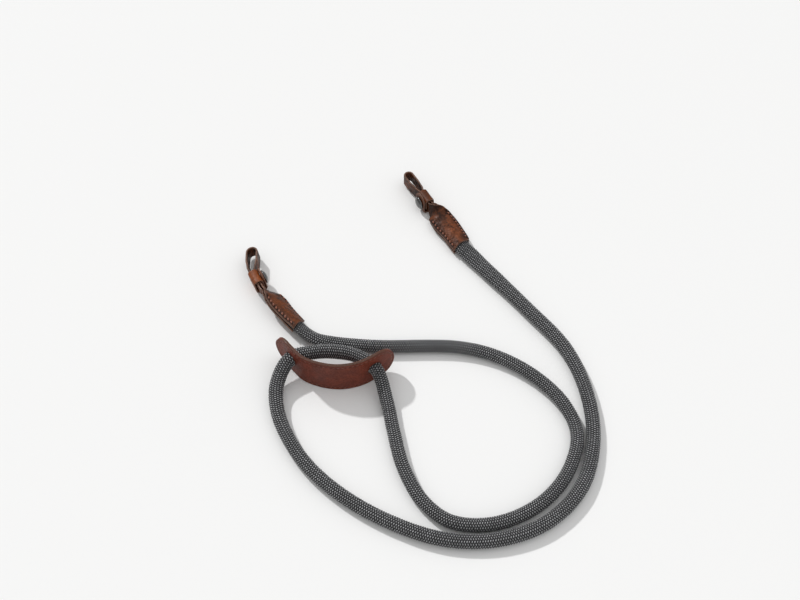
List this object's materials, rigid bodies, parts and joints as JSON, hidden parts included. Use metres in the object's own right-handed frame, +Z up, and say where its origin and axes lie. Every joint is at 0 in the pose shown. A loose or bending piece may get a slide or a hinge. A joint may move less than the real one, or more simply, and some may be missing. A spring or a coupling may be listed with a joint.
{
  "type": "braided camera strap",
  "caption": "Round braided rope camera strap with folded leather lug loops, snap-closed keepers and a slotted leather shoulder pad, lying in loose turns.",
  "frame": {"origin": "under the middle of the leather parts, on the surface that the strap lies on", "axes": "+Z up from the surface, +Y from the shoulder pad towards the lug loops, +X from the strap's left end to its right end"},
  "size_m": [0.22, 0.2754, 0.0258],
  "materials": {
    "rope": "braided charcoal grey cord",
    "leather": "waxed cognac brown, creased",
    "pad_leather": "smooth reddish brown",
    "nickel": "polished nickel"
  },
  "bodies": {
    "root": {"rope": "rope", "shoulder_pad": "pad_leather", "rope_end_left": "rope", "lug_tab_left": "leather", "keeper_left": "leather", "snap_left": "nickel", "rope_end_right": "rope", "lug_tab_right": "leather", "keeper_right": "leather", "snap_right": "nickel"}
  },
  "joints": []
}
